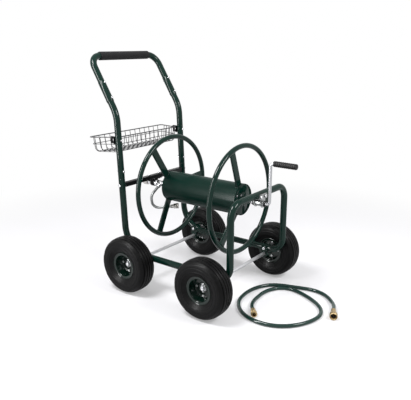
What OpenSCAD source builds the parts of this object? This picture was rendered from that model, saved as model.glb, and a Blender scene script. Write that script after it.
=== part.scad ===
// Garden hose reel cart: four-wheeled tube-frame cart with a crank-wound reel,
// a push handle, a wire basket and a loose leader hose lying beside it.
// X forward, Y to the left, Z up; origin on the ground under the middle.

/* [Chassis] */
// Distance between the rear and front axles
wheelbase = 428; // [400:1:450]
// Outer diameter of the frame tube
tube_d = 30; // [26:0.5:31]
// Wall thickness of the frame tube
tube_wall = 1.5; // [1.2:0.1:2]
// Distance between the middles of the left and right side tubes
side_spacing = 432; // [420:1:436]
// Height of the middle of the lower rails
rail_z = 157; // [152:1:162]
// How far the uprights stand behind the rear axle at rail height
upright_setback = 74; // [70:1:80]
// Rearward lean of the uprights in degrees
upright_lean = 2.8; // [1:0.1:4]
// Bend radius between rail and upright
rear_bend_r = 130; // [120:1:140]
// Distance of the front arch from the rear axle
arch_dx = 514; // [508:1:524]
// Height of the middle of the arch beam
beam_z = 481; // [479:1:484]
// Bend radius at the top corners of the arch
arch_top_r = 62; // [50:1:75]
// Height where the handle legs meet the uprights
leg_seam_z = 503; // [495:1:510]

/* [Handle] */
// Height where the handle legs bend back
handle_bend_z = 793; // [780:1:800]
// Bend radius of the handle legs
handle_bend_r = 150; // [120:5:160]
// How far the handle bar stands behind the rear axle
handle_setback = 261; // [250:1:275]
// Height of the middle of the handle bar
handle_z = 1042; // [1020:1:1060]
// Bend radius at the handle corners
handle_corner_r = 56; // [48:1:60]
// Outer diameter of the foam grip
grip_d = 39; // [36:0.5:42]
// Length of the foam grip
grip_len = 318; // [260:1:319]

/* [Wheels] */
// Distance between the middles of the left and right tyres
track = 568; // [566:1:580]
// Outer diameter of the tyres
tyre_d = 260; // [254:1:264]
// Width of the tyres
tyre_w = 94; // [90:1:96]
// Diameter of the axles
axle_d = 16; // [14:0.5:17]
// Pitch circle of the rim bolts
rim_bolt_circle = 70; // [66:1:72]

/* [Reel] */
// Height of the reel axis
reel_z = 444; // [442:1:446]
// Diameter of the hoops measured to the middle of the tube
hoop_d = 470; // [450:1:480]
// Diameter of the hoop tube
hoop_tube_d = 22; // [18:0.5:24]
// Distance of the rear hoop from the rear axle
rear_hoop_dx = 29; // [27:1:32]
// Distance of the front hoop behind the front arch
hoop_arch_gap = 93; // [91:1:99]
// Diameter of the drum
drum_d = 140; // [130:1:146]
// Width of the flat spokes
spoke_w = 36; // [30:1:38]
// Diameter of the crank rod
crank_d = 14; // [12:0.5:15]
// Throw of the crank from the reel axis to the grip
crank_throw = 178; // [160:1:185]
// Length of the crank grip
crank_grip_len = 102; // [90:1:110]
// Outer diameter of the crank grip
crank_grip_d = 25; // [22:0.5:30]

/* [Basket] */
// Height of the basket rim
basket_rim_z = 688; // [684:1:690]
// Depth of the basket
basket_depth = 70; // [60:1:85]
// Front to back length of the basket rim
basket_len = 138; // [120:1:150]
// How far each rear corner of the basket stands out beyond its front
basket_flare = 40; // [20:1:50]
// Diameter of the rim wire
rim_wire_d = 5; // [4:0.5:5]
// Diameter of the grid wire
grid_wire_d = 3.2; // [2.8:0.1:3.6]

/* [Leader hose] */
// Outer diameter of the leader hose
hose_d = 17; // [15:0.5:18]

/* [Hidden] */
$fn = 40;
e = 0.5;
fit_run = 0.05;            // radial running clearance
fit_slip = 0.1;            // radial clearance of parts that slide together
plate_gap = 0.2;           // side gap between a plate and the tube it holds
tube_r = tube_d / 2;
axle_z = tyre_d / 2;
front_reach = arch_dx + 49 + 14 + 1.5 + crank_grip_len + 2.5;
rear_reach = handle_setback + grip_d / 2;
ax = (rear_reach - front_reach) / 2;   // x of the rear axle
axf = ax + wheelbase;
sy = side_spacing / 2;
seam_x = ax + 345;
arch_x = ax + arch_dx;
arch_low_r = 60;
front_hoop_dx = arch_dx - hoop_arch_gap;
up_dir = [-sin(upright_lean), 0, cos(upright_lean)];
function ux(z) = ax - upright_setback - tan(upright_lean) * (z - rail_z);
hb = [ux(handle_bend_z), 0, handle_bend_z];
ht = [ax - handle_setback, 0, handle_z];
rake = (ht - hb) / norm(ht - hb);
rake_n = [rake[2], 0, -rake[0]];
sleeve_z = 890;
hc = hb + rake * ((sleeve_z - handle_bend_z) / rake[2]);
sleeve_len = 100;
sleeve_r = tube_r + fit_slip + 1.4;
sleeve_bolt = 38;
crossbar_z = 472.5;
leg_bolt_z = 537;
clip_z0 = basket_rim_z - 27;
clip_h = 33;
clip_bolt_z = basket_rim_z - 10;
lean_gap = 0.1 + 6 * tan(upright_lean);  // a flat bolt head against a leaning tube
spigot_len = 96;
rear_bend_dx = rear_bend_r * tan((90 - upright_lean) / 2) - upright_setback;
rear_bolt_z = rail_z + rear_bend_r - sqrt(pow(rear_bend_r, 2) - pow(rear_bend_dx, 2));
brk_t = 3;
brk_out = sy + tube_r + plate_gap + brk_t;
brk_in = sy - tube_r - plate_gap - brk_t;
washer_t = 2.5;
play = 0.3;
hub_in = brk_out + play + washer_t + play;
hub_out = track / 2 - 2;
axle_r = axle_d / 2;
cotter_y = hub_out + play + washer_t + play + 2;
axle_end = cotter_y + 6;
spigot_r = tube_r - tube_wall - fit_slip;
drum_r = drum_d / 2;
hoop_r = hoop_d / 2;
drum_x0 = ax + rear_hoop_dx - 7;
drum_x1 = ax + front_hoop_dx + 9;
plate_x0 = drum_x0 + 3;
plate_x1 = drum_x1 - 3;
crank_r = crank_d / 2;
crank_x = arch_x + 49;
crank_bend = 14;
crank_z = reel_z + crank_throw;
grip_x0 = crank_x + crank_bend + 1.5;
grip_x1 = grip_x0 + crank_grip_len;
cross_x = ux(crossbar_z);
axis0 = [ax, 0, reel_z];
goose = [axis0 + [-45, 0, 0], axis0 + [-45, -74, -46], axis0 + [-42, -64, -110], axis0 + [36, -2, -100]];
goose_d0 = (goose[1] - goose[0]) / norm(goose[1] - goose[0]);
goose_d1 = (goose[3] - goose[2]) / norm(goose[3] - goose[2]);
rear_spokes = [124, 244, 4];
front_spokes = [109, 229, 349];
rim_r = rim_wire_d / 2;
grid_r = grid_wire_d / 2;
basket_y = sy - 1.5 - fit_slip - rim_r;
clip_x = ux(clip_z0 + clip_h) - tube_r / cos(upright_lean) - 0.1;
basket_x1 = clip_x - 5.9;
basket_x0 = basket_x1 - basket_len;
basket_xb = clip_x - 36;   // the side rims run straight past the clips, then flare
basket_z0 = basket_rim_z - basket_depth;
basket_sag = 2.4;          // degrees that the basket hangs down at its rear
flare_a = atan(basket_flare / (basket_xb - basket_x0));
function basket_side(x) = basket_y + max(0, basket_xb - x) * tan(flare_a);
hose_r = hose_d / 2;
hose_z = hose_r + 0.1;
thread_r = 13.4;           // male 3/4 inch hose thread, crest radius
male_z = 13.8;
female_z = 17.2;
hose_path = [
  [375, -130, male_z], [346, -93, 9.8], [328, -49, hose_z], [321, -2, hose_z], [319, 49, hose_z],
  [330, 97, hose_z], [355, 135, hose_z], [395, 154, hose_z], [441, 150, hose_z], [487, 134, hose_z],
  [531, 112, hose_z], [571, 84, hose_z], [602, 48, hose_z], [618, 4, hose_z], [615, -44, hose_z],
  [600, -89, hose_z], [576, -130, hose_z], [543, -164, hose_z], [502, -188, hose_z], [456, -198, hose_z],
  [409, -195, hose_z], [364, -179, hose_z], [325, -152, hose_z], [293, -117, hose_z], [271, -75, hose_z],
  [260, -29, hose_z], [257, 19, hose_z], [264, 66, hose_z], [281, 108, hose_z], [308, 142, hose_z],
  [345, 165, hose_z], [390, 181, hose_z], [436, 196, hose_z], [481, 207, hose_z], [526, 203, hose_z],
  [568, 182, 9.2], [604, 148, 11], [633, 108, 14.4], [651, 65, female_z]];
male_d = [0.617, -0.787, 0];
female_d = [0.42, -0.9075, 0];
male_p = hose_path[0];
female_p = hose_path[len(hose_path) - 1];

green = [0.09, 0.19, 0.15];
black = [0.08, 0.08, 0.09];
dark = [0.2, 0.2, 0.21];
zinc = [0.75, 0.76, 0.78];
brass = [0.78, 0.62, 0.3];

function unit(v) = v / norm(v);
function side_dir(d) = abs(d[2]) < 0.9 ? unit(cross([0, 0, 1], d)) : unit(cross([0, 1, 0], d));
function bend_phi(p, i) = acos(unit(p[i] - p[i - 1]) * unit(p[i + 1] - p[i]));
function bend_t(p, i, R) = (i <= 0 || i >= len(p) - 1) ? 0 : R[i] * tan(bend_phi(p, i) / 2);
function stretch(p, d) = [for (i = [0:len(p) - 1])
  i == 0 ? p[0] - d * unit(p[1] - p[0]) :
  i == len(p) - 1 ? p[i] + d * unit(p[i] - p[i - 1]) : p[i]];
function flip(p) = [for (q = p) [q[0], -q[1], q[2]]];

module place(o, x, y, z)
  multmatrix([[x[0], y[0], z[0], o[0]], [x[1], y[1], z[1], o[1]],
    [x[2], y[2], z[2], o[2]], [0, 0, 0, 1]]) children();

// local +Z runs along d from p
module along(p, d) {
  z = unit(d);
  x = side_dir(z);
  place(p, x, cross(z, x), z) children();
}

// round bar along p with a bend of radius R[i] at every inner corner; a bend is a
// hair fuller and the straights run 0.3 mm into it, so the pieces always join
module bar_path(p, R, r, hair = 0.01) {
  n = len(p) - 2;
  for (i = [0:n]) {
    u = unit(p[i + 1] - p[i]);
    a = p[i] + u * (bend_t(p, i, R) - (i > 0 ? 0.3 : 0));
    b = p[i + 1] - u * bend_t(p, i + 1, R);
    along(a, u) cylinder(h = norm(b - a) + (i < n ? 0.3 : 0), r = r);
    if (i < n) {
      v = unit(p[i + 2] - p[i + 1]);
      w = unit(v - (v * u) * u);
      place(b + w * R[i + 1], -w, u, cross(-w, u))
        rotate_extrude(angle = bend_phi(p, i + 1)) translate([R[i + 1], 0]) circle(r = r + hair);
    }
  }
}

module pipe_path(p, R, r, wall, hair = 0.04) difference() {
  bar_path(p, R, r, hair);
  bar_path(stretch(p, 1), R, r - wall, hair);
}

module rod(p, d, h, r) along(p, d) cylinder(h = h, r = r);

module ring(p, d, h, r, bore) along(p, d) difference() {
  cylinder(h = h, r = r);
  translate([0, 0, -1]) cylinder(h = h + 2, r = bore);
}

// bolt with its hex head behind p and its shank along d
module bolt(p, d, h, r) along(p, d) {
  cylinder(h = h, r = r);
  translate([0, 0, -1.3 * r]) cylinder(h = 1.3 * r, r = 1.85 * r, $fn = 6);
}

module nut(p, d, r) along(p, d) difference() {
  cylinder(h = 1.6 * r, r = 1.85 * r, $fn = 6);
  translate([0, 0, -1]) cylinder(h = 1.6 * r + 2, r = r + fit_run);
}

// ---- frame -------------------------------------------------------------

function side_path(s) = [[seam_x, s * sy, rail_z], [ux(rail_z), s * sy, rail_z],
  [ux(leg_seam_z), s * sy, leg_seam_z]];

module side_frame(s) color(green) difference() {
  pipe_path(side_path(s), [0, rear_bend_r, 0], tube_r, tube_wall);
  rod([ax, s * (sy - 20), rear_bolt_z], [0, 1 * s, 0], 40, 4.3);
  rod([cross_x, s * (sy - 20), crossbar_z], [0, 1 * s, 0], 40, 4.3);
}

module left_side_frame() side_frame(1);
module right_side_frame() side_frame(-1);

module front_frame() color(green) difference() {
  p = [[seam_x + 0.5, sy, rail_z], [arch_x, sy, rail_z], [arch_x, sy, beam_z],
    [arch_x, -sy, beam_z], [arch_x, -sy, rail_z], [seam_x + 0.5, -sy, rail_z]];
  pipe_path(p, [0, arch_low_r, arch_top_r, arch_top_r, arch_low_r, 0], tube_r, tube_wall);
  for (s = [-1, 1]) {
    rod([axf, s * (sy - 20), rail_z], [0, s, 0], 40, 4.3);
    rod([arch_x - 20, s * 16.5, beam_z - 7], [1, 0, 0], 40, 4.3);
  }
}

module rear_crossbar() color(black) difference() {
  translate([cross_x - 10, -sy + 9, crossbar_z - 10]) cube([20, 2 * sy - 18, 20]);
  translate([cross_x - 8.5, -sy + 40, crossbar_z - 8.5]) cube([17, 2 * sy - 80, 17]);
  for (s = [-1, 1]) {
    rod([ux(crossbar_z - 40), s * sy, crossbar_z - 40], up_dir, 80, tube_r + 0.15);
    rod([cross_x, s * (sy - 45), crossbar_z], [0, s, 0], 60, 4 + fit_run);
    rod([cross_x, s * 37, crossbar_z - 20], [0, 0, 1], 40, 3.3);
  }
}

function leg_path(s) = [[ux(leg_seam_z + 0.5), s * sy, leg_seam_z + 0.5], hb + [0, s * sy, 0],
  hc + [0, s * sy, 0] - rake * 0.25];

module handle_legs() color(green) for (s = [-1, 1]) difference() {
  pipe_path(leg_path(s), [0, handle_bend_r, 0], tube_r, tube_wall, 0.08);
  rod([ux(leg_bolt_z) - 20, s * sy, leg_bolt_z], [1, 0, 0], 40, 3.3);
  rod([ux(clip_bolt_z) - 20, s * sy, clip_bolt_z], [1, 0, 0], 40, 3.3);
  rod(hc + [0, s * sy, 0] - rake * sleeve_bolt - rake_n * 20, rake_n, 40, 3.3);
}

module upper_handle() color(green) difference() {
  p = [hc + [0, sy, 0] + rake * 0.25, ht + [0, sy, 0], ht - [0, sy, 0],
    hc - [0, sy, 0] + rake * 0.25];
  pipe_path(p, [0, handle_corner_r, handle_corner_r, 0], tube_r, tube_wall);
  for (s = [-1, 1])
    rod(hc + [0, s * sy, 0] + rake * sleeve_bolt - rake_n * 20, rake_n, 40, 3.3);
}

module handle_sleeves() color(green) for (s = [-1, 1]) difference() {
  ring(hc + [0, s * sy, 0] - rake * sleeve_len / 2, rake, sleeve_len, sleeve_r, tube_r + fit_slip);
  for (k = [-1, 1])
    rod(hc + [0, s * sy, 0] + rake * (k * sleeve_bolt) - rake_n * 20, rake_n, 40, 3.3);
}

module frame_spigots() color(zinc) for (s = [-1, 1]) {
  difference() {
    ring([seam_x - spigot_len / 2, s * sy, rail_z], [1, 0, 0], spigot_len, spigot_r, spigot_r - 2);
    rod([axf, s * (sy - 20), rail_z], [0, s, 0], 40, 4.3);
  }
  difference() {
    ring([ux(455), s * sy, 455], up_dir, 120, spigot_r, spigot_r - 2);
    rod([cross_x, s * (sy - 20), crossbar_z], [0, s, 0], 40, 4.3);
    rod([ux(leg_bolt_z) - 20, s * sy, leg_bolt_z], [1, 0, 0], 40, 3.3);
  }
}

module handle_grip() color(black)
  ring(ht - [0, grip_len / 2, 0], [0, 1, 0], grip_len, grip_d / 2, tube_r + fit_run);

// ---- frame fasteners ---------------------------------------------------

module frame_bolts() color(zinc) for (s = [-1, 1]) {
  bolt([ax, s * (brk_out + 0.05), rear_bolt_z], [0, -s, 0], brk_out - brk_in + 10, 4);
  bolt([axf, s * (brk_out + 0.05), rail_z], [0, -s, 0], brk_out - brk_in + 10, 4);
  bolt([cross_x, s * (sy + tube_r + 0.1), crossbar_z], [0, -s, 0], 50, 4);
  bolt([ux(leg_bolt_z) + tube_r + lean_gap, s * sy, leg_bolt_z], [-1, 0, 0], tube_d + 9, 3);
  bolt([ux(clip_bolt_z) + tube_r + lean_gap, s * sy, clip_bolt_z], [-1, 0, 0], tube_d + 11, 3);
  bolt([cross_x, s * 37, crossbar_z - 13.25], [0, 0, 1], 31, 3);
  bolt([arch_x + tube_r + 3.2, s * 16.5, beam_z - 7], [-1, 0, 0], tube_d + 14, 4);
  for (k = [-1, 1])
    bolt(hc + [0, s * sy, 0] + rake * (k * sleeve_bolt) - rake_n * (sleeve_r + 0.1), rake_n,
      2 * sleeve_r + 7, 3);
}

module frame_nuts() color(zinc) for (s = [-1, 1]) {
  nut([ax, s * (brk_in - 0.05), rear_bolt_z], [0, -s, 0], 4);
  nut([axf, s * (brk_in - 0.05), rail_z], [0, -s, 0], 4);
  nut([ux(leg_bolt_z) - tube_r - lean_gap, s * sy, leg_bolt_z], [-1, 0, 0], 3);
  nut([clip_x - 3.1, s * sy, clip_bolt_z], [-1, 0, 0], 3);
  nut([cross_x, s * 37, crossbar_z + 10.05], [0, 0, 1], 3);
  nut([arch_x - tube_r - 3.2, s * 16.5, beam_z - 7], [-1, 0, 0], 4);
  for (k = [-1, 1])
    nut(hc + [0, s * sy, 0] + rake * (k * sleeve_bolt) + rake_n * (sleeve_r + 0.1), rake_n, 3);
}

// ---- axles -------------------------------------------------------------

module axle(x) color(zinc) difference() {
  union() {
    rod([x, -axle_end + 1, axle_z], [0, 1, 0], 2 * axle_end - 2, axle_r);
    for (s = [-1, 1]) along([x, s * (axle_end - 1), axle_z], [0, s, 0])
      cylinder(h = 1, r1 = axle_r, r2 = axle_r - 1);
  }
  for (s = [-1, 1]) {
    rod([x, s * (axle_end + 1), axle_z], [0, -s, 0], 3, 4.5);
    rod([x, s * cotter_y, axle_z - 20], [0, 0, 1], 40, 2);
  }
}

module axles() for (x = [ax, axf]) axle(x);

module bracket_plate(x, y, zb) difference() {
  union() {
    rod([x, y, axle_z], [0, 1, 0], brk_t, 17);
    rod([x, y, zb], [0, 1, 0], brk_t, 17);
    translate([x - 17, y, axle_z]) cube([34, brk_t, zb - axle_z]);
  }
  rod([x, y - 1, axle_z], [0, 1, 0], brk_t + 2, axle_r + fit_run);
  rod([x, y - 1, zb], [0, 1, 0], brk_t + 2, 4.3);
}

module axle_brackets() color(green) for (y = [-brk_out, -brk_in - brk_t, brk_in, brk_out - brk_t]) {
  bracket_plate(ax, y, rear_bolt_z);
  bracket_plate(axf, y, rail_z);
}

module axle_washers() color(zinc) for (x = [ax, axf]) for (s = [-1, 1]) {
  ring([x, s * (brk_out + play), axle_z], [0, s, 0], washer_t, 14, axle_r + 0.15);
  ring([x, s * (hub_out + play), axle_z], [0, s, 0], washer_t, 14, axle_r + 0.15);
}

module cotter_pins() color(zinc) for (x = [ax, axf]) for (s = [-1, 1]) {
  rod([x, s * cotter_y, axle_z - 15], [0, 0, 1], 30, 1.7);
  along([x, s * cotter_y, axle_z + 18], [0, 1, 0])
    rotate_extrude() translate([3.6, 0]) circle(r = 1.2, $fn = 16);
}

// ---- wheels ------------------------------------------------------------

tw = tyre_w / 2;
td = tyre_d / 2;
module tyre_section() difference() {
  polygon([[51.2, 22], [51.2, 30.8], [62, 30.8], [67, tw - 12], [76, tw - 5.5], [87, tw - 1.3],
    [97, tw], [td - 23, tw - 0.6], [td - 15, tw - 3], [td - 9, tw - 7], [td - 4.5, tw - 13],
    [td - 1.5, tw - 23], [td, tw - 35], [td, -tw + 35], [td - 1.5, -tw + 23], [td - 4.5, -tw + 13],
    [td - 9, -tw + 7], [td - 15, -tw + 3], [td - 23, -tw + 0.6], [97, -tw], [87, -tw + 1.3],
    [76, -tw + 5.5], [67, -tw + 12], [62, -30.8], [51.2, -30.8], [51.2, -22], [60, -25],
    [68, -tw + 17], [78, -tw + 10], [88, -tw + 6.5], [97, -tw + 6], [td - 24, -tw + 7],
    [td - 16, -tw + 11], [td - 11.5, -tw + 19], [td - 9.5, -tw + 32], [td - 9, 0],
    [td - 9.5, tw - 32], [td - 11.5, tw - 19], [td - 16, tw - 11], [td - 24, tw - 7], [97, tw - 6],
    [88, tw - 6.5], [78, tw - 10], [68, tw - 17], [60, 25]]);
  for (y = [-22, -8, 8, 22]) translate([td - 4.5, y - 1.5]) square([10, 3]);
}

module valve_line(r, h0, h) rotate([0, 0, 45]) translate([57, 0, 0.6]) rotate([0, -55, 0])
  translate([0, 0, h0]) cylinder(h = h, r = r);

module wheel_at(x, s) along([x, s * track / 2, axle_z], [0, s, 0]) children();

module tyre(x, s) color(black) wheel_at(x, s) rotate_extrude($fn = 72) tyre_section();

module inner_tube(x, s) color(dark) wheel_at(x, s) difference() {
  union() {
    rotate_extrude() translate([86, 0]) circle(r = 31);
    valve_line(4, 0, 28);
  }
  rotate_extrude() translate([86, 0]) circle(r = 29);
  valve_line(1.6, -6, 40);
}

module rim_outer() difference() {
  rotate_extrude($fn = 72) polygon([[15.02, -6], [43.8, -6], [51, 22], [51, 31], [61.5, 31],
    [61.5, 33], [49, 33], [49, 22.4], [42.3, -4], [15.02, -4]]);
  for (a = [0, 90, 180, 270]) rotate([0, 0, a]) translate([rim_bolt_circle / 2, 0, -20])
    cylinder(h = 30, r = 3.3);
  valve_line(5, -2, 28);
}

module rim_inner() difference() {
  rotate_extrude($fn = 72) polygon([[15.02, -6.05], [45.4, -6.05], [51, -22], [51, -31],
    [61.5, -31], [61.5, -33], [49, -33], [49, -22.5], [43.6, -8], [15.02, -8]]);
  for (a = [0, 90, 180, 270]) rotate([0, 0, a]) translate([rim_bolt_circle / 2, 0, -20])
    cylinder(h = 30, r = 3.3);
}

// a rim is two pressed halves, face to face
module rim(x, s) color(green) wheel_at(x, s) {
  rim_outer();
  rim_inner();
}

module hub(x, s) color(zinc) along([x, s * hub_in, axle_z], [0, s, 0]) difference() {
  cylinder(h = hub_out - hub_in, r = 15);
  translate([0, 0, -1]) cylinder(h = hub_out - hub_in + 2, r = axle_r + fit_run);
  translate([0, 0, 12]) cylinder(h = hub_out - hub_in - 24, r = axle_r + 2);
}

module rim_bolts(x, s) color(zinc) wheel_at(x, s)
  for (a = [0, 90, 180, 270]) rotate([0, 0, a]) translate([rim_bolt_circle / 2, 0, 0]) {
    translate([0, 0, -14]) cylinder(h = 14, r = 3);
    translate([0, 0, -3.95]) cylinder(h = 4, r = 5.7, $fn = 6);
    translate([0, 0, -13]) cylinder(h = 4.9, r = 5.7, $fn = 6);
  }

module rear_left_tyre() tyre(ax, 1);
module rear_left_inner_tube() inner_tube(ax, 1);
module rear_left_rim() rim(ax, 1);
module rear_left_hub() hub(ax, 1);
module rear_left_rim_bolts() rim_bolts(ax, 1);
module rear_right_tyre() tyre(ax, -1);
module rear_right_inner_tube() inner_tube(ax, -1);
module rear_right_rim() rim(ax, -1);
module rear_right_hub() hub(ax, -1);
module rear_right_rim_bolts() rim_bolts(ax, -1);
module front_left_tyre() tyre(axf, 1);
module front_left_inner_tube() inner_tube(axf, 1);
module front_left_rim() rim(axf, 1);
module front_left_hub() hub(axf, 1);
module front_left_rim_bolts() rim_bolts(axf, 1);
module front_right_tyre() tyre(axf, -1);
module front_right_inner_tube() inner_tube(axf, -1);
module front_right_rim() rim(axf, -1);
module front_right_hub() hub(axf, -1);
module front_right_rim_bolts() rim_bolts(axf, -1);

// ---- basket ------------------------------------------------------------

// closed loop of wire through a front corner, a flare point and a rear corner, and their mirrors
module wire_loop(f, b, q, rf, rr, r) {
  function other(p) = [p[0], -p[1], p[2]];
  bar_path([[f[0], 0, f[2]], f, b, q, other(q), other(b), other(f), [f[0], 0, f[2]]],
    [0, rf, 12, rr, rr, 12, rf, 0], r);
}

// tips the basket down at its rear about its front rim
module basket_hang() translate([basket_x1, 0, basket_rim_z]) rotate([0, -basket_sag, 0])
  translate([-basket_x1, 0, -basket_rim_z]) children();

module wire_basket() color(dark) basket_hang() {
  $fn = 16;
  inset = 8;
  m = inset * 33 / basket_depth;
  lap = 0.35;
  g = 2 * grid_r - lap;
  gs = g / cos(flare_a);
  br = 20;
  nx = 14;
  ny = 5;
  mz = basket_rim_z - 33;
  mx = basket_x0 + m + g;
  wire_loop([basket_x1, basket_y, basket_rim_z], [basket_xb, basket_y, basket_rim_z],
    [basket_x0, basket_side(basket_x0), basket_rim_z], 8, 12, rim_r);
  wire_loop([basket_x1 - m - g, basket_y - m - g, mz],
    [basket_xb - (gs - g) / tan(flare_a), basket_y - m - g, mz],
    [mx, basket_side(mx) - m - gs, mz], 8, 10, grid_r);
  for (i = [0:nx - 1]) {
    y = (i - (nx - 1) / 2) * (2 * basket_y - 50) / (nx - 1);
    k = y / basket_y * basket_flare / basket_len;
    bar_path([[basket_x1 + 0.6, y - 0.6 * k, basket_rim_z - 0.6],
      [basket_x1 - inset, y + inset * k, basket_z0],
      [basket_x0 + inset, y + (basket_len - inset) * k, basket_z0],
      [basket_x0 - 0.6, y + (basket_len + 0.6) * k, basket_rim_z - 0.6]],
      [0, br, br, 0], grid_r);
  }
  for (i = [0:ny - 1]) {
    x = basket_x0 + 30 + i * (basket_len - 40) / (ny - 1);
    y = basket_side(x);
    zz = basket_z0 + g;
    bar_path([[x, y + 0.6, basket_rim_z - 0.6], [x, y - inset, zz],
      [x, -y + inset, zz], [x, -y - 0.6, basket_rim_z - 0.6]],
      [0, br, br, 0], grid_r);
  }
}

module basket_clips() color(black) for (s = [-1, 1]) difference() {
  union() {
    translate([clip_x - 32, s * sy - 1.5, clip_z0]) cube([32, 3, clip_h]);
    translate([clip_x - 3, s * sy - 13, clip_z0]) cube([3, 26, clip_h]);
    basket_hang() for (z = [rim_r + 0.1, -rim_r - 2.1])
      translate([clip_x - 31, s * (sy - 5) - 4, basket_rim_z + z]) cube([12, 8, 2]);
  }
  rod([clip_x - 18, s * sy - 5, clip_bolt_z - 0.5], [0, 1, 0], 10, 5);
  rod([clip_x - 5, s * sy, clip_bolt_z], [1, 0, 0], 10, 3.3);
  translate([clip_x - 10.5, s * sy - 5, clip_bolt_z - 6.5]) cube([7.5, 10, 13]);
}

// ---- swivel and bearings -----------------------------------------------

module swivel_bracket() color(black) difference() {
  translate([cross_x - 10, 0, reel_z]) rotate([90, 0, 90]) linear_extrude(20) difference() {
    union() {
      circle(r = 18.2);
      translate([-18.2, 0]) square([36.4, crossbar_z - 10 - reel_z - 0.1]);
      translate([-47, crossbar_z - 13.1 - reel_z]) square([94, 3]);
    }
    circle(r = 15.2);
    translate([-15.2, 0]) square([30.4, 40]);
  }
  for (s = [-1, 1]) rod([cross_x, s * 37, reel_z], [0, 0, 1], 30, 3.3);
}

module swivel_body() color(zinc) along([ax, 0, reel_z], [1, 0, 0]) difference() {
  union() {
    translate([0, 0, -118]) cylinder(h = 56, r = 15);
    translate([0, 0, -128.5]) cylinder(h = 11, r = 10.5);
    translate([0, 0, -132]) cylinder(h = 4, r = 12.5);
  }
  translate([0, 0, -104]) cylinder(h = 50, r = 8 + fit_run);
  translate([0, 0, -140]) cylinder(h = 50, r = 6);
}

module swivel_seals() color(black) {
  ring([ax - 61.7, 0, reel_z], [1, 0, 0], 3.4, 14, 8.3);
  ring([ax - 135.2, 0, reel_z], [1, 0, 0], 3, 12.5, 6);
}

module inlet_nut() color(brass) along([ax, 0, reel_z], [1, 0, 0]) difference() {
  union() {
    translate([0, 0, -152]) cylinder(h = 27.4, r = 17);
    for (a = [0:30:330]) rotate([0, 0, a]) translate([17, 0, -151])
      cylinder(h = 25, r = 1.2, $fn = 16);
  }
  translate([0, 0, -153]) cylinder(h = 20, r = thread_r + fit_run);
  translate([0, 0, -135.5]) cylinder(h = 7.8, r = thread_r + 0.8);
  translate([0, 0, -130]) cylinder(h = 10, r = 10.8);
}

module front_bearing_bracket() color(zinc) difference() {
  union() {
    rod([arch_x - 26, 0, reel_z], [1, 0, 0], 52, 13);
    for (x = [arch_x - tube_r - 3.15, arch_x + tube_r + 0.15]) {
      rod([x, 0, reel_z], [1, 0, 0], 3, 18);
      translate([x, -18, reel_z]) cube([3, 36, beam_z - 7 - reel_z]);
      translate([x, -27, beam_z - 16]) cube([3, 54, 22]);
    }
  }
  rod([arch_x - 30, 0, reel_z], [1, 0, 0], 60, 10);
  for (s = [-1, 1]) rod([arch_x - 30, s * 16.5, beam_z - 7], [1, 0, 0], 60, 4.3);
}

module front_bearing_bushes() color(black) for (s = [-1, 1])
  along([arch_x + s * 29.1, 0, reel_z], [-s, 0, 0]) difference() {
    union() {
      cylinder(h = 3, r = 14);
      cylinder(h = 16, r = 10 - fit_run);
    }
    translate([0, 0, -1]) cylinder(h = 20, r = crank_r + fit_run);
  }

// ---- reel --------------------------------------------------------------

module drum() color(green)
  ring([drum_x0, 0, reel_z], [1, 0, 0], drum_x1 - drum_x0, drum_r, drum_r - 1.2);

screw_a = [0, -44.7, 26];
screw_b = [0, -17.5, 22.6];

module drum_end_plates() color(green) {
  difference() {
    rod([plate_x0, 0, reel_z], [1, 0, 0], 1.5, drum_r - 1.2 - fit_slip);
    rod([plate_x0 - 1, 0, reel_z], [1, 0, 0], 4, 10 + fit_run);
    for (s = [-1, 1]) rod([plate_x0 - 1, s * 19, reel_z], [1, 0, 0], 4, 2.7);
  }
  difference() {
    union() {
      rod([plate_x1 - 1.5, 0, reel_z], [1, 0, 0], 1.5, drum_r - 1.2 - fit_slip);
      rod([plate_x1 - 0.5, 0, reel_z], [1, 0, 0], 3.5, 34);
      rod([plate_x1, 0, reel_z], [1, 0, 0], 21, 16);
    }
    rod([plate_x1 - 5, 0, reel_z], [1, 0, 0], 40, crank_r + fit_run);
    rod([plate_x1 + 12, -30, reel_z], [0, 1, 0], 60, 2.5 + fit_run);
    for (q = [screw_a, screw_b]) rod([plate_x1 - 5, q[1], reel_z + q[2]], [1, 0, 0], 12, 2.7);
  }
}

module drum_screws() color(zinc) {
  bolt([plate_x1 + 0.05, screw_a[1], reel_z + screw_a[2]], [-1, 0, 0], 9, 2.5);
  bolt([plate_x1 + 3.05, screw_b[1], reel_z + screw_b[2]], [-1, 0, 0], 12, 2.5);
  for (s = [-1, 1]) bolt([plate_x0 - 3.35, s * 19, reel_z], [1, 0, 0], 12, 2.5);
}

module hoop(x) color(green) along([x, 0, reel_z], [1, 0, 0]) difference() {
  rotate_extrude($fn = 90) translate([hoop_r, 0]) circle(r = hoop_tube_d / 2);
  rotate_extrude($fn = 90) translate([hoop_r, 0]) circle(r = hoop_tube_d / 2 - 1.2);
}
module rear_hoop() hoop(ax + rear_hoop_dx);
module front_hoop() hoop(ax + front_hoop_dx);

module flat_bar(w, t, h0, h) {
  translate([-t / 2, -w / 2 + t / 2, h0]) cube([t, w - t, h]);
  for (s = [-1, 1]) translate([0, s * (w - t) / 2, h0]) cylinder(h = h, r = t / 2);
}

module spoke(x, a) difference() {
  translate([x, 0, reel_z]) rotate([a - 90, 0, 0]) difference() {
    flat_bar(spoke_w, 10, drum_r - 5, hoop_r - 10.4 - drum_r + 5);
    flat_bar(spoke_w - 2.4, 7.6, drum_r - 8, hoop_r - drum_r + 5);
  }
  rod([x - 20, 0, reel_z], [1, 0, 0], 40, drum_r + 0.15);
  along([x, 0, reel_z], [1, 0, 0]) rotate_extrude($fn = 90) translate([hoop_r, 0])
    circle(r = hoop_tube_d / 2 + 0.15);
}

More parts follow.
